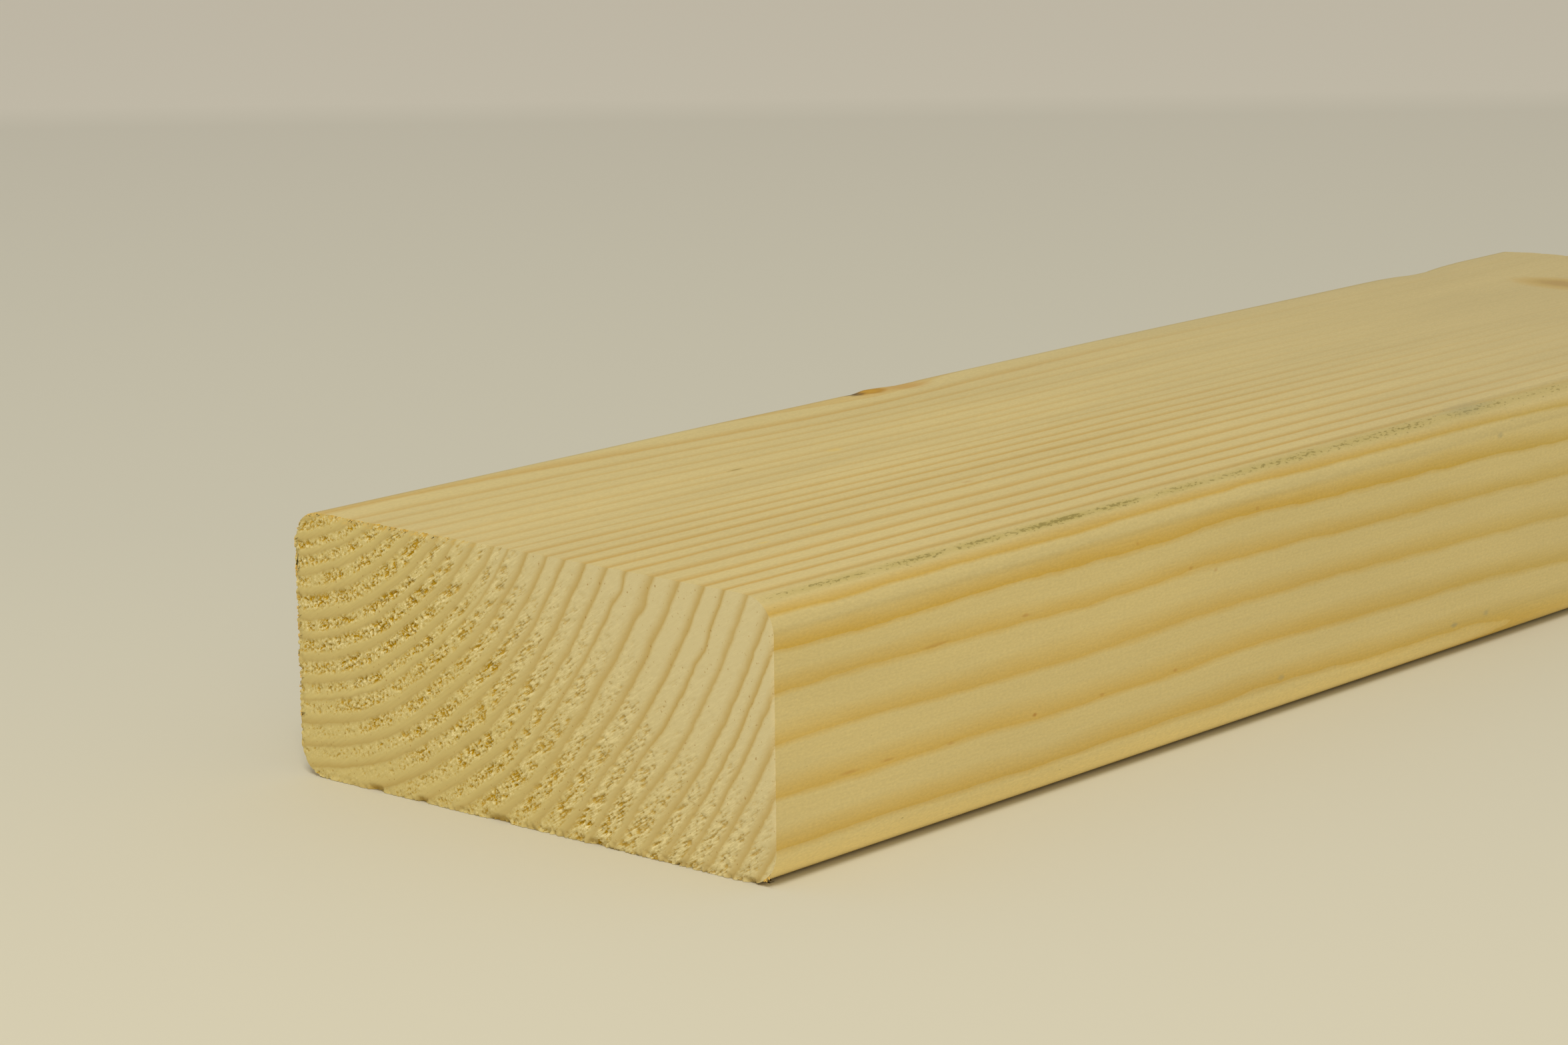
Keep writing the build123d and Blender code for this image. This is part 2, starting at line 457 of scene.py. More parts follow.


# Sawn end grain: spruce cut across the fibres by a coarse blade. It is matt, granular and pitted where
# the earlywood tore, with a painted cream highlight on its tips and painted olive-brown shade in its
# hollows, and smooth and tan on the latewood.
end_grain, tree = add_material("spruce_sawn_end_grain")
place = add_node(tree, "TexCoord", output="Object")
place = add_node(tree, "VectorMath", place, 1 / mm, operation="SCALE")
sawn = sawn_relief(tree, place)
late_colour = add_node(tree, "Mix", sawn["along_blade"], linear("#bca56c"), linear("#bba668"),
                       data_type="RGBA", output=2)
early_colour = add_node(tree, "Mix", sawn["along_blade"], linear("#c7b88a"), linear("#c4b171"),
                        data_type="RGBA", output=2)
colour = add_node(tree, "Mix", sawn["late"], early_colour, late_colour, data_type="RGBA", output=2)
line = add_node(tree, "MapRange", sawn["late"], 0.3, 1.0, 0.0, 0.5, interpolation_type="SMOOTHSTEP")
line = add_node(tree, "Math", line, sawn["darkness"], operation="MULTIPLY")
clean = add_node(tree, "MapRange", sawn["torn"], 0.2, 0.8, 1.0, 0.2)
line = add_node(tree, "Math", line, clean, operation="MULTIPLY")
colour = add_node(tree, "Mix", line, colour, linear("#ab8c44"), data_type="RGBA", output=2)
# Painted highlight: the tips of the torn grain are painted cream, standing in for fibres that catch the light
painted_tip_highlight = add_node(tree, "MapRange", sawn["grain"], 0.49, 0.38, 0.0, 0.72)
painted_tip_highlight = add_node(tree, "Math", painted_tip_highlight, sawn["soft"], operation="MULTIPLY")
colour = add_node(tree, "Mix", painted_tip_highlight, colour, linear("#ecdca6"), data_type="RGBA", output=2)
# Painted shade: the pits and the lower edge's notches are painted olive-brown, most where the blade ran along
# the rings
pit_shade_size = add_node(tree, "MapRange", sawn["along_blade"], 0.2, 0.9, 0.62, 1.15)
painted_pit_shade = add_node(tree, "Math", sawn["pit"], pit_shade_size, operation="MULTIPLY")
painted_pit_shade = add_node(tree, "Math", painted_pit_shade, 1.0, operation="MINIMUM")
colour = add_node(tree, "Mix", painted_pit_shade, colour, linear("#ae8600"), data_type="RGBA", output=2)
# Loose yellow fibres along the upper edge towards the back, and a pale painted highlight down the front edge
along, across, up = add_node(tree, "SeparateXYZ", place).node.outputs
fluff_from, fluff_full = 36.9, 37.7
fluff = add_node(tree, "MapRange", up, fluff_from, fluff_full, 0.0, 1.0)
back_share = add_node(tree, "MapRange", across, 4.0, 20.0, 0.0, 1.0)
fluff = add_node(tree, "Math", fluff, back_share, operation="MULTIPLY")
fluff_grain = add_node(tree, "MapRange", sawn["grain"], 0.44, 0.60, 0.0, 0.6)
fluff = add_node(tree, "Math", fluff, fluff_grain, operation="MULTIPLY")
colour = add_node(tree, "Mix", fluff, colour, linear("#deb65a"), data_type="RGBA", output=2)
# Painted highlight: a pale cream rim down the front edge, from a few millimetres above the underside
front_edge_highlight = add_node(tree, "MapRange", across, -43.5, -44.4, 0.0, 0.4)
rim_from = add_node(tree, "MapRange", up, 4.0, 8.0, 0.0, 1.0)
front_edge_highlight = add_node(tree, "Math", front_edge_highlight, rim_from, operation="MULTIPLY")
rim_grain = add_node(tree, "MapRange", sawn["grain"], 0.42, 0.55, 0.1, 1.0)
front_edge_highlight = add_node(tree, "Math", front_edge_highlight, rim_grain, operation="MULTIPLY")
colour = add_node(tree, "Mix", front_edge_highlight, colour, linear("#e0cb98"), data_type="RGBA", output=2)
# Resin canals, as fine brown dots
canal_spacing = 0.5
canal = add_node(tree, "TexNoise", place, 1 / canal_spacing, 1.0, 0.5)
canal = add_node(tree, "MapRange", canal, 0.70, 0.78, 0.0, 0.6)
colour = add_node(tree, "Mix", canal, colour, linear("#96702e"), data_type="RGBA", output=2)
# Scores left by the blade's teeth, clearest where it ran along the rings
score_length, score_width = 9.0, 0.32
score_stretch = (0.0, 1 / score_length, 1 / score_width)
score_place = add_node(tree, "VectorRotate", place, (0, 0, 0), (1, 0, 0), blade_turn,
                       rotation_type="AXIS_ANGLE")
score_place = add_node(tree, "VectorMath", score_place, score_stretch, operation="MULTIPLY")
score = add_node(tree, "TexNoise", score_place, 1.0, 2.0, 0.6)
score_size = add_node(tree, "MapRange", sawn["along_blade"], 0.0, 0.7, 0.04, 0.2)
score = add_node(tree, "Math", score, 0.5, operation="SUBTRACT")
score_shade = add_node(tree, "Math", score, score_size, 1.0, operation="MULTIPLY_ADD")
colour = add_node(tree, "VectorMath", colour, score_shade, operation="SCALE")
fuzz_grain = 0.16
fuzz = add_node(tree, "TexNoise", place, 1 / fuzz_grain, 2.0, 0.6)
fuzz_size = add_node(tree, "Math", sawn["soft"], 1.2, 0.3, operation="MULTIPLY_ADD")
fuzz = add_node(tree, "Math", fuzz, fuzz_size, operation="MULTIPLY")
bump = add_node(tree, "Bump", 0.35, 0.1 * mm, named={"Height": fuzz})
shader = add_node(tree, "BsdfPrincipled", colour, named={
    "Roughness": 0.8, "Specular IOR Level": 0.15, "Normal": bump})
add_node(tree, "OutputMaterial", shader, output=slice(0))

# Planed long faces: spruce cut smooth along the fibres. It has a soft sheen with fine glints along the
# grain painted into its colour, pale earlywood that darkens to honey latewood, and fine fibre lines.
planed, tree = add_material("spruce_planed")
place = add_node(tree, "TexCoord", output="Object")
place = add_node(tree, "VectorMath", place, 1 / mm, operation="SCALE")
ring = growth_rings(tree, place)
deep = add_node(tree, "Math", ring["late"], ring["darkness"], operation="MULTIPLY")
# The rings are fainter and thinner along the far part, faintest on the top face, where they are clearer
# towards the front edge
along, across, up = add_node(tree, "SeparateXYZ", place).node.outputs
far_part = add_node(tree, "MapRange", along, -40.0, 90.0, 0.0, 1.0)
on_top = add_node(tree, "MapRange", up, 35.0, 37.8, 0.0, 1.0)
far_top = add_node(tree, "Math", far_part, on_top, operation="MULTIPLY")
contrast = add_node(tree, "MapRange", far_top, 0.0, 1.0, 1.0, 0.46)
deep = add_node(tree, "Math", deep, contrast, operation="MULTIPLY")
far_contrast = add_node(tree, "MapRange", far_part, 0.3, 1.0, 1.0, 0.75)
deep = add_node(tree, "Math", deep, far_contrast, operation="MULTIPLY")
thinner = add_node(tree, "MapRange", far_part, 0.3, 1.0, 1.0, 1.5)
deep = add_node(tree, "Math", deep, thinner, operation="POWER")
top_share = add_node(tree, "MapRange", across, -10.0, 25.0, 1.22, 0.85)
top_contrast = add_node(tree, "MapRange", on_top, 0.0, 1.0, 1.0, top_share)
deep = add_node(tree, "Math", deep, top_contrast, operation="MULTIPLY")
late_colour = add_node(tree, "Mix", far_part, linear("#c19d42"), linear("#b49941"),
                       data_type="RGBA", output=2)
late_colour = add_node(tree, "Mix", on_top, late_colour, linear("#bc984a"), data_type="RGBA", output=2)
early_colour = add_node(tree, "Mix", on_top, linear("#c8b479"), linear("#c7b275"), data_type="RGBA", output=2)
colour = add_node(tree, "Mix", deep, early_colour, late_colour, data_type="RGBA", output=2)
# Fibre lines, fine painted glints and soft clouds lie along the grain. Each has its size along it and across
# it, its octaves and their weight, half the range of the noise that counts, and how far it shades the wood.
figure = [(14.0, 0.35, 3.0, 0.6, 0.3, 0.04), (0.7, 0.28, 2.0, 0.6, 0.2, 0.06),
          (60.0, 9.0, 1.0, 0.5, 0.2, 0.03)]
shade = 1.0
noises = []
for size_along, size_across, octaves, weight, spread, swing in figure:
    stretch = (1 / size_along, 1 / size_across, 1 / size_across)
    noise_place = add_node(tree, "VectorMath", place, stretch, operation="MULTIPLY")
    noise = add_node(tree, "TexNoise", noise_place, 1.0, octaves, weight)
    noises.append(noise)
    noise = add_node(tree, "MapRange", noise, 0.5 - spread, 0.5 + spread, 1 - swing, 1 + swing)
    shade = add_node(tree, "Math", shade, noise, operation="MULTIPLY")
fibre = noises[0]
# Painted shade and light: the top face is painted a little darker, and the front and back a little lighter.
# The top's far part is darker still and greyer
top_painted_shade_side_light = add_node(tree, "MapRange", on_top, 0.0, 1.0, 1.04, 0.97)
shade = add_node(tree, "Math", shade, top_painted_shade_side_light, operation="MULTIPLY")
far_shade = add_node(tree, "MapRange", far_top, 0.0, 1.0, 1.0, 0.94)
shade = add_node(tree, "Math", shade, far_shade, operation="MULTIPLY")
far_grey = add_node(tree, "Math", far_top, 0.3, operation="MULTIPLY")
colour = add_node(tree, "Mix", far_grey, colour, linear("#c4b083"), data_type="RGBA", output=2)
# Painted shade and light: the two upper arrises are painted a little darker than the faces, and the two
# lower ones clearly paler
out_side = add_node(tree, "Math", across, operation="ABSOLUTE")
out_side = add_node(tree, "Math", out_side, arris_y / mm, operation="SUBTRACT")
out_side = add_node(tree, "Math", out_side, 0.0, operation="MAXIMUM")
from_middle = add_node(tree, "Math", up, thickness / 2 / mm, operation="SUBTRACT")
out_up = add_node(tree, "Math", from_middle, operation="ABSOLUTE")
out_up = add_node(tree, "Math", out_up, (thickness / 2 - arris_radius) / mm, operation="SUBTRACT")
out_up = add_node(tree, "Math", out_up, 0.0, operation="MAXIMUM")
on_arris = add_node(tree, "Math", out_side, out_up, operation="MULTIPLY")
on_arris = add_node(tree, "Math", on_arris, 2 * (mm / arris_radius) ** 2, operation="MULTIPLY")
upper = add_node(tree, "Math", from_middle, operation="SIGN")
on_arris = add_node(tree, "Math", on_arris, upper, operation="MULTIPLY")
arris_painted_shade_and_light = add_node(tree, "MapRange", on_arris, -1.0, 1.0, 1.5, 0.5)
arris_painted_shade_and_light = add_node(tree, "Math", arris_painted_shade_and_light, 0.89, operation="MAXIMUM")
shade = add_node(tree, "Math", shade, arris_painted_shade_and_light, operation="MULTIPLY")
colour = add_node(tree, "VectorMath", colour, shade, operation="SCALE")

# Fungal blue stain: grey-green specks in a thin line along the front top arris, stronger in places.
# Each pair is millimetres from the near end and how strong the stain is there, from 0 to 1.
stain_along = [(0, 0.1), (6, 0.5), (20, 0.75), (22, 0.3), (26, 0.7), (35, 0.75), (38, 0.4), (41, 0.8),
               (48, 0.8), (51, 0.5), (55, 0.9), (66, 1.0), (69, 0.5), (71, 0.75), (78, 0.8), (81, 0.4),
               (88, 0.7), (92, 0.75), (96, 0.4), (104, 0.6), (122, 0.7), (126, 0.4), (131, 0.6),
               (150, 0.6), (155, 0.4), (161, 0.65), (168, 0.6), (176, 0.4), (190, 0.5), (205, 0.0)]
stain_across, stain_up = -41.9, 37.4
speck_length, speck_width = 1.0, 0.38
length_share = add_node(tree, "MapRange", along, near_end, far_end, 0.0, 1.0)
stain_curve = [(from_near / (far_end - near_end), amount) for from_near, amount in stain_along]
strength = add_node(tree, "FloatCurve", 1.0, length_share, curve=stain_curve)
to_line = add_node(tree, "VectorMath", place, (0, 1, 1), (0, -stain_across, -stain_up),
                   operation="MULTIPLY_ADD")
from_line = add_node(tree, "VectorMath", to_line, operation="LENGTH", output=1)
haze_width = add_node(tree, "MapRange", along, -60.0, 0.0, 1.1, 1.9)
haze = add_node(tree, "Math", from_line, haze_width, operation="DIVIDE")
haze = add_node(tree, "MapRange", haze, 0.0, 1.0, 1.0, 0.0, interpolation_type="SMOOTHSTEP")
haze = add_node(tree, "Math", haze, strength, operation="MULTIPLY")
speck_stretch = (1 / speck_length, 1 / speck_width, 1 / speck_width)
speck_place = add_node(tree, "VectorMath", place, speck_stretch, operation="MULTIPLY")
speck = add_node(tree, "TexNoise", speck_place, 1.0, 2.0, 0.6)
speck_floor = add_node(tree, "MapRange", haze, 0.0, 1.0, 0.72, 0.38)
speck_top = add_node(tree, "Math", speck_floor, 0.10, operation="ADD")
speck = add_node(tree, "MapRange", speck, speck_floor, speck_top, 0.0, 0.58)
haze = add_node(tree, "Math", haze, 0.75, operation="MULTIPLY")
colour = add_node(tree, "Mix", haze, colour, linear("#a3914b"), data_type="RGBA", output=2)
colour = add_node(tree, "Mix", speck, colour, linear("#6e6024"), data_type="RGBA", output=2)

# Knots: each branch is a narrow cone out from the pith, brown with a darker rim, and it had died back, so
# it ends a little way inside the plank
knot_end_from, knot_end_to = 8.0, 15.0
rag_size, rim_at = 1.8, 1.25
for knot in knots:
    out = np.array([knot["across"] - pith_y, knot["up"] - pith_z])
    pith_distance = float(np.hypot(*out))
    out = out / pith_distance
    centre = (-knot["along"], -knot["across"], -knot["up"])
    away = add_node(tree, "VectorMath", place, centre, operation="ADD")
    beside = add_node(tree, "VectorMath", away, (0, -out[1], out[0]), operation="DOT_PRODUCT", output=1)
    beyond = add_node(tree, "VectorMath", away, (0, out[0], out[1]), operation="DOT_PRODUCT", output=1)
    width = add_node(tree, "MapRange", beyond, -pith_distance, 0.0, 0.0, knot["half_width"], clamp=False)
    along_away = add_node(tree, "SeparateXYZ", away)
    along_away = add_node(tree, "Math", along_away, 1 / knot["stretch"], operation="MULTIPLY")
    flat = add_node(tree, "CombineXYZ", along_away, beside, 0.0)
    flat = add_node(tree, "VectorMath", flat, operation="LENGTH", output=1)
    inside = add_node(tree, "Math", flat, width, operation="DIVIDE")
    rag = add_node(tree, "TexNoise", place, 1 / rag_size, 2.0, 0.6)
    inside = add_node(tree, "Math", rag, 0.5, inside, operation="MULTIPLY_ADD")
    alive = add_node(tree, "MapRange", beyond, knot_end_from, knot_end_to, 1.0, 0.0)
    halo = add_node(tree, "MapRange", inside, 1.1, 2.0, 0.35, 0.0, interpolation_type="SMOOTHSTEP")
    halo = add_node(tree, "Math", halo, alive, operation="MULTIPLY")
    colour = add_node(tree, "Mix", halo, colour, linear("#bf9440"), data_type="RGBA", output=2)
    rim = add_node(tree, "MapRange", inside, rim_at - knot["soft"] / 2, rim_at + knot["soft"] / 2,
                   1.0, 0.0, interpolation_type="SMOOTHSTEP")
    rim = add_node(tree, "Math", rim, alive, operation="MULTIPLY")
    heart = add_node(tree, "MapRange", inside, 0.55, 1.15, 1.0, 0.0, interpolation_type="SMOOTHSTEP")
    knot_colour = add_node(tree, "Mix", heart, linear(knot["rim"]), linear(knot["heart"]),
                           data_type="RGBA", output=2)
    colour = add_node(tree, "Mix", rim, colour, knot_colour, data_type="RGBA", output=2)

# Small marks: orange resin dashes and grey smudges on the front face, and an olive nick, yellow flecks and
# the knot's orange tail on top. Each has its place in millimetres from the near end, the front edge and the
# underside, its length and width, its colour and its strength.
resin, smudge, yellow = "#a8742c", "#98916e", "#d9b23c"
marks = [
    (14.5, 0, 12.5, 5.0, 0.7, resin, 0.5), (22, 0, 12.5, 4.0, 0.7, resin, 0.5),
    (35, 0, 12.0, 2.0, 0.7, resin, 0.5), (53, 0, 12.2, 1.2, 0.7, resin, 1.0),
    (68, 0, 12.0, 1.5, 0.7, resin, 0.5), (32, 0, 26.0, 6.0, 0.7, resin, 0.4),
    (51, 0, 26.5, 2.0, 0.7, resin, 0.6), (76, 0, 32.0, 1.0, 0.7, resin, 0.5),
    (85, 0, 12.2, 1.2, 0.7, resin, 0.6), (88.5, 0, 26.3, 1.2, 0.7, resin, 0.6),
    (94.5, 0, 25.0, 1.2, 0.7, resin, 0.5), (104.5, 0, 32.3, 1.0, 0.7, resin, 0.5),
    (111, 0, 6.0, 2.0, 1.2, smudge, 0.6), (157, 0, 5.2, 2.2, 1.2, smudge, 0.8),
    (166, 0, 5.5, 2.0, 1.2, smudge, 0.6), (169, 0, 33.0, 2.0, 1.2, smudge, 0.6),
    (164, 3.2, 37.8, 16.0, 4.5, smudge, 0.5), (58, 58.7, 38, 4.0, 0.9, "#857126", 0.9),
    (78, 57, 38, 4.0, 2.0, yellow, 0.4), (37, 25, 38, 3.0, 1.2, yellow, 0.4),
    (24, 23, 38, 3.0, 1.2, yellow, 0.4), (72, 27, 38, 3.0, 1.2, resin, 0.4),
    (125.0, 82.8, 38.0, 13.0, 7.0, "#b68430", 0.8), (114.4, 84.8, 37.6, 4.4, 5.0, "#4c340c", 1.3),
]
fade_inwards = 0.6                    # how fast a mark fades below its face, per millimetre
for mark_along, mark_across, mark_up, mark_length, mark_width, mark_colour, mark_strength in marks:
    stretch = [2 / mark_length, 2 / mark_width, 2 / mark_width]
    stretch[1 if mark_across == 0 else 2] = fade_inwards
    middle = (near_end + mark_along, mark_across - half_width / mm, mark_up)
    centre = [-value * share for value, share in zip(middle, stretch)]
    mark = add_node(tree, "VectorMath", place, stretch, centre, operation="MULTIPLY_ADD")
    mark = add_node(tree, "VectorMath", mark, operation="LENGTH", output=1)
    # The fibre lines make its edge ragged
    mark = add_node(tree, "Math", fibre, 1.2, mark, operation="MULTIPLY_ADD")
    mark = add_node(tree, "MapRange", mark, 0.9, 1.6, 0.7 * mark_strength, 0.0)
    colour = add_node(tree, "Mix", mark, colour, linear(mark_colour), data_type="RGBA", output=2)

height = add_node(tree, "Math", ring["late"], 0.6, fibre, operation="MULTIPLY_ADD")
bump = add_node(tree, "Bump", 0.15, 0.02 * mm, named={"Height": height})
shader = add_node(tree, "BsdfPrincipled", colour, named={
    "Roughness": 0.6, "Specular IOR Level": 0.25, "Normal": bump})
add_node(tree, "OutputMaterial", shader, output=slice(0))

# The relief of the sawn ends: the saw's tearing as real depth. Geometry Nodes move the end faces inwards
# along the grain, so nothing stands outside the stock.
relief = bpy.data.node_groups.new("sawn_end_relief", "GeometryNodeTree")
relief.interface.new_socket("Stock", in_out="INPUT", socket_type="NodeSocketGeometry")
relief.interface.new_socket("Relief size", in_out="INPUT", socket_type="NodeSocketFloat")
relief.interface.new_socket("Plank", in_out="OUTPUT", socket_type="NodeSocketGeometry")
given = relief.nodes.new("NodeGroupInput")
position = add_node(relief, "GeometryNodeInputPosition")
along = add_node(relief, "SeparateXYZ", position)
is_end = add_node(relief, "GeometryNodeInputNamedAttribute", "end_face", data_type="BOOLEAN")
place = add_node(relief, "VectorMath", position, 1 / mm, operation="SCALE")
depth = sawn_relief(relief, place)["depth"]
inwards = add_node(relief, "Math", along, operation="SIGN")
inwards = add_node(relief, "Math", inwards, -mm, operation="MULTIPLY")
move = add_node(relief, "Math", inwards, depth, operation="MULTIPLY")
move = add_node(relief, "Math", move, given.outputs["Relief size"], operation="MULTIPLY")
offset = add_node(relief, "CombineXYZ", move)
whole = add_node(relief, "GeometryNodeSetPosition", given.outputs["Stock"], is_end, None, offset)
whole = add_node(relief, "GeometryNodeRealizeInstances", whole)
whole = add_node(relief, "GeometryNodeSetMaterial", whole, None, planed)
whole = add_node(relief, "GeometryNodeSetMaterial", whole, is_end, end_grain)
add_node(relief, "NodeGroupOutput", whole, output=slice(0))
modifier = stock.modifiers.new("sawn_end_relief", "NODES")
modifier.node_group = relief
modifier[relief.interface.items_tree["Relief size"].identifier] = 1.0
graph = bpy.context.evaluated_depsgraph_get()
plank_mesh = bpy.data.meshes.new_from_object(stock.evaluated_get(graph))
plank_mesh.name = "sawn_plank"
bpy.data.objects.remove(stock)
plank = add_object("sawn_plank", plank_mesh)
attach(plank, "root")
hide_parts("plank")

# Torn fibres: loose ends of spruce that the blade left hanging along the upper and back edges of the near
# sawn end, and a frayed splinter at its lower front corner. Each is one thin tapered sliver of the stock,
# rooted on the end's own edge. They lean out of the end but stay inside the stock's size.
torn_fibre, tree = add_material("spruce_torn_fibre")
shader = add_node(tree, "BsdfPrincipled", linear("#dcb154"), named={
    "Roughness": 0.7, "Specular IOR Level": 0.2})
add_node(tree, "OutputMaterial", shader, output=slice(0))

# The parts of the end's edge that they grow from, in millimetres, and two tufts by height and half height
upper_from, back_edge_in, back_from = 14.0, 43.5, 6.0
tuft_places = [(29.6, 0.7), (27.0, 0.5)]
corner_within, corner_below = -40.5, 1.5
edge_places = np.array([plank_mesh.vertices[int(number)].co for number in near_loop + firsts[0]])
_, edge_across, edge_up = edge_places.T / mm
upper_edge = (edge_up > fluff_from) & (edge_across > upper_from)
back_edge = (edge_across > back_edge_in) & (edge_up > back_from) & ~upper_edge
tufts = back_edge & np.any([np.abs(edge_up - middle) < half for middle, half in tuft_places], axis=0)
front_corner = (edge_across < corner_within) & (edge_up < corner_below)
# Which way the fibres of each edge point, turned about the grain from straight up, and their size
groups = [(upper_edge, 180.0, 0.8), (back_edge, 90.0, 0.9), (tufts, 0.0, 1.0), (front_corner, 120.0, 1.4)]
turns = sum(radians(turn) * group for group, turn, _ in groups)
sizes = sum(size * group for group, _, size in groups)
rooted = sizes > 0
roots_mesh = bpy.data.meshes.new("fibre_roots")
roots_mesh.from_pydata([tuple(map(float, spot)) for spot in edge_places[rooted]], [], [])
for attribute, values in (("turn", turns[rooted]), ("size", sizes[rooted])):
    roots_mesh.attributes.new(attribute, "FLOAT", "POINT").data.foreach_set("value", values)
roots = add_object("fibre_roots", roots_mesh)

fray = bpy.data.node_groups.new("torn_fibres", "GeometryNodeTree")
fray.interface.new_socket("Roots", in_out="INPUT", socket_type="NodeSocketGeometry")
fray_inputs = dict([("Share kept", 0.3), ("Fibre length", 0.0009), ("Fibre width", 0.00016), ("Lean", 0.6)])
for name in fray_inputs:
    fray.interface.new_socket(name, in_out="INPUT", socket_type="NodeSocketFloat")
fray.interface.new_socket("Fibres", in_out="OUTPUT", socket_type="NodeSocketGeometry")
given = fray.nodes.new("NodeGroupInput").outputs
keep_seed, stray_seed, size_seed = 11, 12, 13
most_stray = radians(55)
kept = add_node(fray, "FunctionNodeRandomValue", given["Share kept"], None, keep_seed, data_type="BOOLEAN",
                output=3)
spots = add_node(fray, "GeometryNodeMeshToPoints", given["Roots"], kept)
tip_width = add_node(fray, "Math", given["Fibre width"], 0.1, operation="MULTIPLY")
base_width = add_node(fray, "Math", given["Fibre width"], 0.5, operation="MULTIPLY")
sliver = add_node(fray, "GeometryNodeMeshCone", 4, 3, 1, tip_width, base_width, given["Fibre length"])
local = add_node(fray, "GeometryNodeInputPosition")
_, _, out = add_node(fray, "SeparateXYZ", local).node.outputs
bent = add_node(fray, "Math", out, out, operation="MULTIPLY")
bent = add_node(fray, "Math", bent, given["Fibre length"], operation="DIVIDE")
bent = add_node(fray, "Math", bent, 0.5, operation="MULTIPLY")
bend = add_node(fray, "CombineXYZ", bent, bent, 0.0)
sliver = add_node(fray, "GeometryNodeSetPosition", sliver, None, None, bend)
turn = add_node(fray, "GeometryNodeInputNamedAttribute", "turn", data_type="FLOAT")
stray = add_node(fray, "FunctionNodeRandomValue", -most_stray, most_stray, None, stray_seed,
                 data_type="FLOAT", output=1)
turn = add_node(fray, "Math", turn, stray, operation="ADD")
point_across = add_node(fray, "Math", turn, operation="SINE")
point_across = add_node(fray, "Math", point_across, -1.0, operation="MULTIPLY")
point_up = add_node(fray, "Math", turn, operation="COSINE")
lean = add_node(fray, "Math", given["Lean"], -1.0, operation="MULTIPLY")
direction = add_node(fray, "CombineXYZ", lean, point_across, point_up)
rotation = add_node(fray, "FunctionNodeAlignRotationToVector", None, 1.0, direction, axis="Z")
size = add_node(fray, "GeometryNodeInputNamedAttribute", "size", data_type="FLOAT")
uneven = add_node(fray, "FunctionNodeRandomValue", 0.5, 1.3, None, size_seed, data_type="FLOAT", output=1)
size = add_node(fray, "Math", size, uneven, operation="MULTIPLY")
fibres = add_node(fray, "GeometryNodeInstanceOnPoints", spots, None, sliver, named={
    "Rotation": rotation, "Scale": size})
fibres = add_node(fray, "GeometryNodeRealizeInstances", fibres)
inside = add_node(fray, "VectorMath", local, tuple(low), operation="MAXIMUM")
inside = add_node(fray, "VectorMath", inside, tuple(high), operation="MINIMUM")
fibres = add_node(fray, "GeometryNodeSetPosition", fibres, None, inside)
fibres = add_node(fray, "GeometryNodeRealizeInstances", fibres)
fibres = add_node(fray, "GeometryNodeSetMaterial", fibres, None, torn_fibre)
add_node(fray, "NodeGroupOutput", fibres, output=slice(0))
modifier = roots.modifiers.new("torn_fibres", "NODES")
modifier.node_group = fray
for name, value in fray_inputs.items():
    modifier[fray.interface.items_tree[name].identifier] = value
graph = bpy.context.evaluated_depsgraph_get()
fibre_mesh = bpy.data.meshes.new_from_object(roots.evaluated_get(graph))
fibre_mesh.name = "torn_fibres"
bpy.data.objects.remove(roots)
fibres = add_object("torn_fibres", fibre_mesh)
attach(fibres, "root")

# The floor: a wide sheet of pale card, cream near the plank and greyer further off. It belongs to the
# stage, not to the object.
floor_half = 6.0
floor_drop = -0.00005
floor_mesh = bpy.data.meshes.new("floor")
floor_mesh.from_pydata([(x, y, floor_drop) for x, y in
                        ((-floor_half, -floor_half), (floor_half, -floor_half),
                         (floor_half, floor_half), (-floor_half, floor_half))], [], [(0, 1, 2, 3)])
card, tree = add_material("card_matt_cream")
place = add_node(tree, "TexCoord", output="Object")
camera_yaw = radians(41.56)
card_from, card_to = -0.25, 1.25      # metres from the plank, straight away from the camera
card_shades = [(0.04, "#cbc3aa"), (0.22, "#c6c0ab"), (0.42, "#c9c3af"), (0.62, "#cdc6b3"),
               (0.66, "#d7cfbc"), (0.95, "#dfd6c2")]
away = add_node(tree, "VectorMath", place, (cos(camera_yaw), sin(camera_yaw), 0.0),
                operation="DOT_PRODUCT", output=1)
away = add_node(tree, "MapRange", away, card_from, card_to, 0.0, 1.0)
colour = add_node(tree, "ValToRGB", away)
shades = colour.node.color_ramp.elements
for stop, (where, code) in enumerate(card_shades):
    shade = shades[stop] if stop < 2 else shades.new(where)
    shade.position = where
    shade.color = linear(code)
shader = add_node(tree, "BsdfPrincipled", colour, named={
    "Roughness": 0.9, "Specular IOR Level": 0.1})
add_node(tree, "OutputMaterial", shader, output=slice(0))
floor_mesh.materials.append(card)
floor = add_object("floor", floor_mesh)

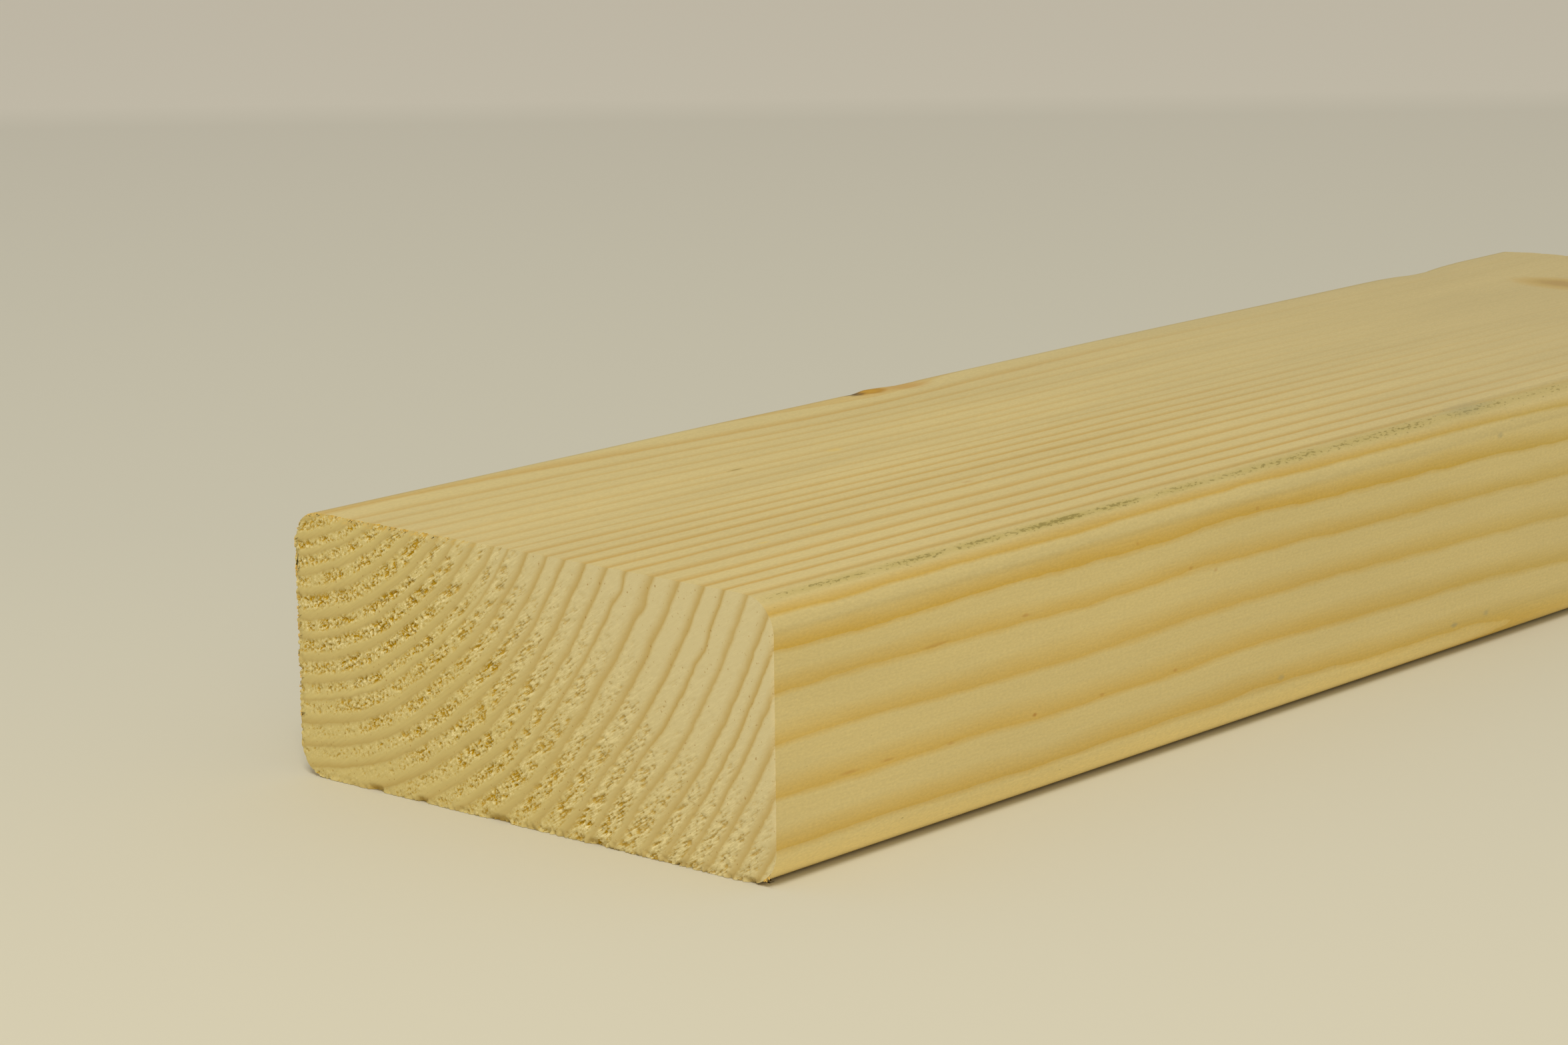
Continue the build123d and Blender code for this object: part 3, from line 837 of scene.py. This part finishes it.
# The light: an even pale sky, a soft lamp high above the plank on the camera's side, and a large, weaker and
# warmer one low in front
world = bpy.data.worlds.new("pale_room")
bpy.context.scene.world = world
world.use_nodes = True
tree = world.node_tree
tree.nodes.clear()
rays = add_node(tree, "LightPath").node.outputs
seen = add_node(tree, "Math", rays["Is Camera Ray"], rays["Is Glossy Ray"], operation="MAXIMUM")
seen = add_node(tree, "Math", seen, rays["Is Transmission Ray"], operation="MAXIMUM")
sky_strength = 0.555
even = add_node(tree, "Background", (1.0, 1.0, 1.0, 1.0), sky_strength)
backdrop = add_node(tree, "Background", linear("#bcb7a5"), 1.0)
sky = add_node(tree, "MixShader", seen, even, backdrop)
add_node(tree, "OutputWorld", sky, output=slice(0))
# Each lamp has its place and width in metres, its power in watts and its colour
lamp_aim = Vector((-0.10, 0.0, 0.02))
lamps = [("lamp_above", (-1.00, -0.58, 1.46), 0.65, 18.7, "#ffffff"),
         ("lamp_in_front", (-1.60, -1.46, 0.75), 1.4, 9.5, "#fff4be")]
for name, place, size, energy, tint in lamps:
    lamp_data = bpy.data.lights.new(name, "AREA")
    lamp_data.shape = "DISK"
    lamp_data.size = size
    lamp_data.energy = energy
    lamp_data.color = linear(tint)[:3]
    lamp = add_object(name, lamp_data)
    aim = lamp_aim - Vector(place)
    lamp.matrix_world = Matrix.Translation(place) @ aim.to_track_quat("-Z", "Y").to_matrix().to_4x4()

# The camera, at the photograph's viewing angle, with its lens and the width behind it in millimetres
camera_data = bpy.data.cameras.new("camera")
camera_data.lens = 99.15
camera_data.sensor_width = 36.0
camera_data.clip_start = 0.01
camera_data.clip_end = 50.0
camera = add_object("camera", camera_data)
camera_place = (-0.5458, -0.3952, 0.1611)
pitch, roll = radians(12.13), radians(-0.70)
camera.matrix_world = (Matrix.Translation(camera_place)
                       @ Matrix.Rotation(camera_yaw - pi / 2, 4, "Z")
                       @ Matrix.Rotation(pi / 2 - pitch, 4, "X")
                       @ Matrix.Rotation(roll, 4, "Z"))
bpy.context.scene.camera = camera
bpy.context.scene.view_settings.view_transform = "Standard"
